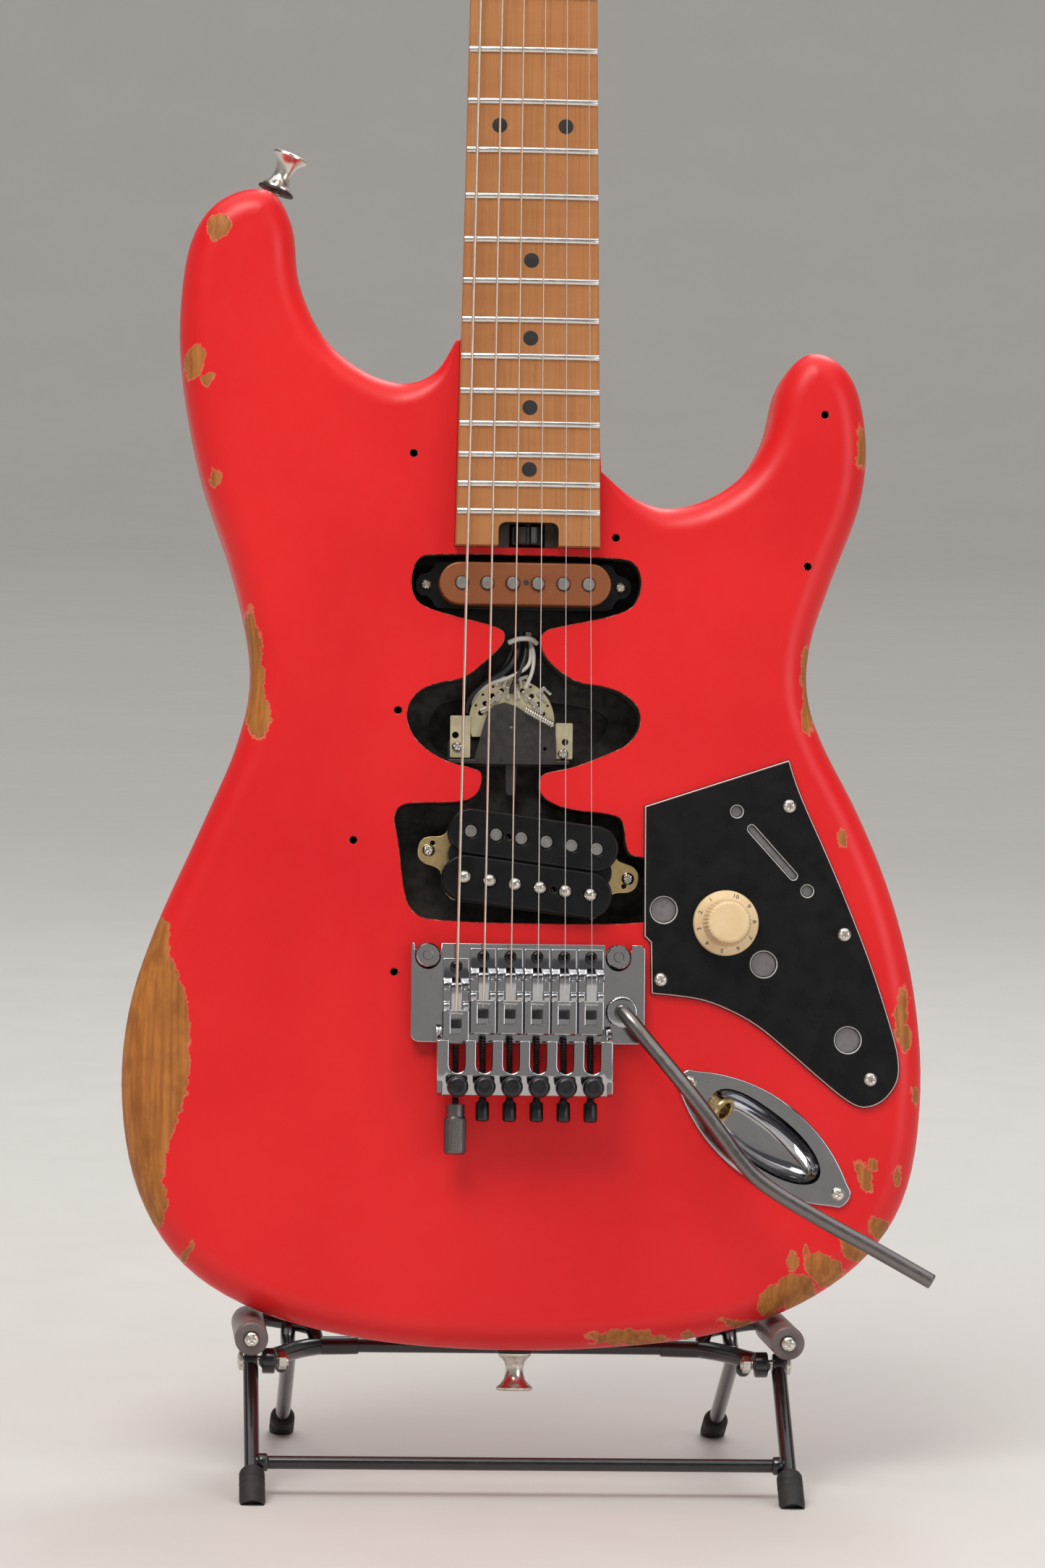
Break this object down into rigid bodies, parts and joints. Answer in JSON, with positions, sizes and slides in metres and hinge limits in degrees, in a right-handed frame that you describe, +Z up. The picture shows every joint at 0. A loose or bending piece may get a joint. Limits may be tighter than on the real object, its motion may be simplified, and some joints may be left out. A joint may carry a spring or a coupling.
{
  "type": "guitar on stand",
  "caption": "Solid-body electric guitar with a double-locking tremolo and open cavities, resting on a folding rod floor stand.",
  "frame": {"origin": "on the floor, under the middle of the whole object's box", "axes": "+Z up, the guitar's face towards -Y and leaned back towards +Y, its treble side towards +X"},
  "size_m": [0.3133, 0.1996, 1.0314],
  "materials": {
    "red_paint": "satin",
    "roasted_maple": "satin",
    "black_steel": "satin",
    "fret_wire": "polished",
    "black_dot": "matte",
    "chrome": "polished",
    "nickel": "polished",
    "black_plastic": "satin",
    "amber_fibre": "satin",
    "pole_steel": "matte",
    "brass": "polished",
    "cream_fibre": "matte",
    "cream_plastic": "gloss",
    "block_steel": "matte",
    "black_hardware": "satin",
    "brushed_arm": "brushed",
    "string_steel": "polished",
    "wire_cover": "satin",
    "stand_black": "gloss",
    "sleeve_rubber": "satin",
    "foot_rubber": "matte",
    "pad_foam": "matte"
  },
  "bodies": {
    "stand": {"stand_rear_frame": "stand_black", "stand_sleeves": "sleeve_rubber", "stand_bolts": "nickel", "rear_feet": "foot_rubber", "back_pad": "pad_foam"},
    "front_legs": {"stand_front_frame": "stand_black", "front_feet": "foot_rubber"},
    "tremolo": {"tremolo_plate": "chrome", "sustain_block": "block_steel", "saddles": "chrome", "saddle_screws": "black_hardware", "arm_collar": "chrome"},
    "arm": {"whammy_arm": "brushed_arm"},
    "drop": {"drop_tuner": "brushed_arm"},
    "knob": {"tone_knob": "cream_plastic", "pot_shaft": "nickel"},
    "switch": {"switch_lever": "black_steel"},
    "fine_tuner_1_body": {"fine_tuner_1": "black_hardware"},
    "fine_tuner_2_body": {"fine_tuner_2": "black_hardware"},
    "fine_tuner_3_body": {"fine_tuner_3": "black_hardware"},
    "fine_tuner_4_body": {"fine_tuner_4": "black_hardware"},
    "fine_tuner_5_body": {"fine_tuner_5": "black_hardware"},
    "fine_tuner_6_body": {"fine_tuner_6": "black_hardware"},
    "tuner_key_1_body": {"tuner_key_1": "chrome"},
    "tuner_key_2_body": {"tuner_key_2": "chrome"},
    "tuner_key_3_body": {"tuner_key_3": "chrome"},
    "tuner_key_4_body": {"tuner_key_4": "chrome"},
    "tuner_key_5_body": {"tuner_key_5": "chrome"},
    "tuner_key_6_body": {"tuner_key_6": "chrome"},
    "guitar": {"guitar_body": "red_paint", "neck": "roasted_maple", "truss_rod": "black_steel", "frets": "fret_wire", "fret_markers": "black_dot", "locking_nut": "chrome", "string_retainer": "chrome", "neck_plate": "chrome", "wood_screws": "nickel", "neck_pickup_base": "black_plastic", "neck_pickup_bobbin": "amber_fibre", "neck_pickup_poles": "pole_steel", "humbucker_baseplate": "brass", "humbucker_bobbins": "black_plastic", "humbucker_poles": "nickel", "switch_frame": "black_steel", "switch_wafer": "cream_fibre", "switch_spring": "nickel", "control_plate": "black_plastic", "potentiometer": "nickel", "jack_plate": "chrome", "jack_socket": "brass", "strap_buttons": "nickel", "spring_claw": "nickel", "tremolo_springs": "nickel", "back_cover": "black_plastic", "tremolo_posts": "chrome", "tuner_housings": "chrome", "tuner_posts": "chrome", "strings": "string_steel", "wiring": "wire_cover"}
  },
  "joints": [
    {"name": "lift_off", "type": "slide", "parent": "stand", "child": "guitar", "axis": [0, 0, 1], "range_m": [0, 0.25]},
    {"name": "front_legs_fold", "type": "hinge", "parent": "stand", "child": "front_legs", "pos_m": [-0.00135, -0.0346, 0.0454], "axis": [1, 0, 0], "range_deg": [0, 108]},
    {"name": "tremolo_dive", "type": "hinge", "parent": "guitar", "child": "tremolo", "pos_m": [-0.00135, -0.03539, 0.20216], "axis": [-1, 0, 0], "range_deg": [0, 12], "stiffness_Nm_per_rad": 2, "springref_deg": -17.19, "deforming": ["tremolo_springs", "strings"]},
    {"name": "arm_swivel", "type": "hinge", "parent": "tremolo", "child": "arm", "pos_m": [0.03715, -0.04115, 0.18446], "axis": [0, -0.9914, 0.1305], "range_deg": [-20, 110]},
    {"name": "drop_tuner_pull", "type": "slide", "parent": "tremolo", "child": "drop", "axis": [0, -0.1305, -0.9914], "range_m": [0, 0.006]},
    {"name": "knob_turn", "type": "hinge", "parent": "guitar", "child": "knob", "pos_m": [0.07765, -0.03952, 0.21985], "axis": [0, -0.9914, 0.1305], "range_deg": [-150, 150]},
    {"name": "switch_throw", "type": "hinge", "parent": "guitar", "child": "switch", "pos_m": [-0.00595, -0.00729, 0.29145], "axis": [0, -0.9914, 0.1305], "range_deg": [-16, 16]},
    {"name": "fine_tune_1", "type": "hinge", "parent": "tremolo", "child": "fine_tuner_1_body", "pos_m": [-0.0276, -0.05991, 0.15687], "axis": [0, -0.9914, 0.1305], "range_deg": [-360, 360]},
    {"name": "fine_tune_2", "type": "hinge", "parent": "tremolo", "child": "fine_tuner_2_body", "pos_m": [-0.0171, -0.05991, 0.15687], "axis": [0, -0.9914, 0.1305], "range_deg": [-360, 360]},
    {"name": "fine_tune_3", "type": "hinge", "parent": "tremolo", "child": "fine_tuner_3_body", "pos_m": [-0.0066, -0.05991, 0.15687], "axis": [0, -0.9914, 0.1305], "range_deg": [-360, 360]},
    {"name": "fine_tune_4", "type": "hinge", "parent": "tremolo", "child": "fine_tuner_4_body", "pos_m": [0.0039, -0.05991, 0.15687], "axis": [0, -0.9914, 0.1305], "range_deg": [-360, 360]},
    {"name": "fine_tune_5", "type": "hinge", "parent": "tremolo", "child": "fine_tuner_5_body", "pos_m": [0.0144, -0.05991, 0.15687], "axis": [0, -0.9914, 0.1305], "range_deg": [-360, 360]},
    {"name": "fine_tune_6", "type": "hinge", "parent": "tremolo", "child": "fine_tuner_6_body", "pos_m": [0.0249, -0.05991, 0.15687], "axis": [0, -0.9914, 0.1305], "range_deg": [-360, 360]},
    {"name": "tuner_turn_1", "type": "hinge", "parent": "guitar", "child": "tuner_key_1_body", "pos_m": [-0.01895, 0.07511, 0.87217], "axis": [-0.965, 0.0342, 0.2599], "continuous": true},
    {"name": "tuner_turn_2", "type": "hinge", "parent": "guitar", "child": "tuner_key_2_body", "pos_m": [-0.01191, 0.0785, 0.89794], "axis": [-0.965, 0.0342, 0.2599], "continuous": true},
    {"name": "tuner_turn_3", "type": "hinge", "parent": "guitar", "child": "tuner_key_3_body", "pos_m": [-0.00487, 0.0819, 0.92372], "axis": [-0.965, 0.0342, 0.2599], "continuous": true},
    {"name": "tuner_turn_4", "type": "hinge", "parent": "guitar", "child": "tuner_key_4_body", "pos_m": [0.00217, 0.08529, 0.9495], "axis": [-0.965, 0.0342, 0.2599], "continuous": true},
    {"name": "tuner_turn_5", "type": "hinge", "parent": "guitar", "child": "tuner_key_5_body", "pos_m": [0.00921, 0.08868, 0.97528], "axis": [-0.965, 0.0342, 0.2599], "continuous": true},
    {"name": "tuner_turn_6", "type": "hinge", "parent": "guitar", "child": "tuner_key_6_body", "pos_m": [0.01625, 0.09208, 1.00105], "axis": [-0.965, 0.0342, 0.2599], "continuous": true}
  ]
}
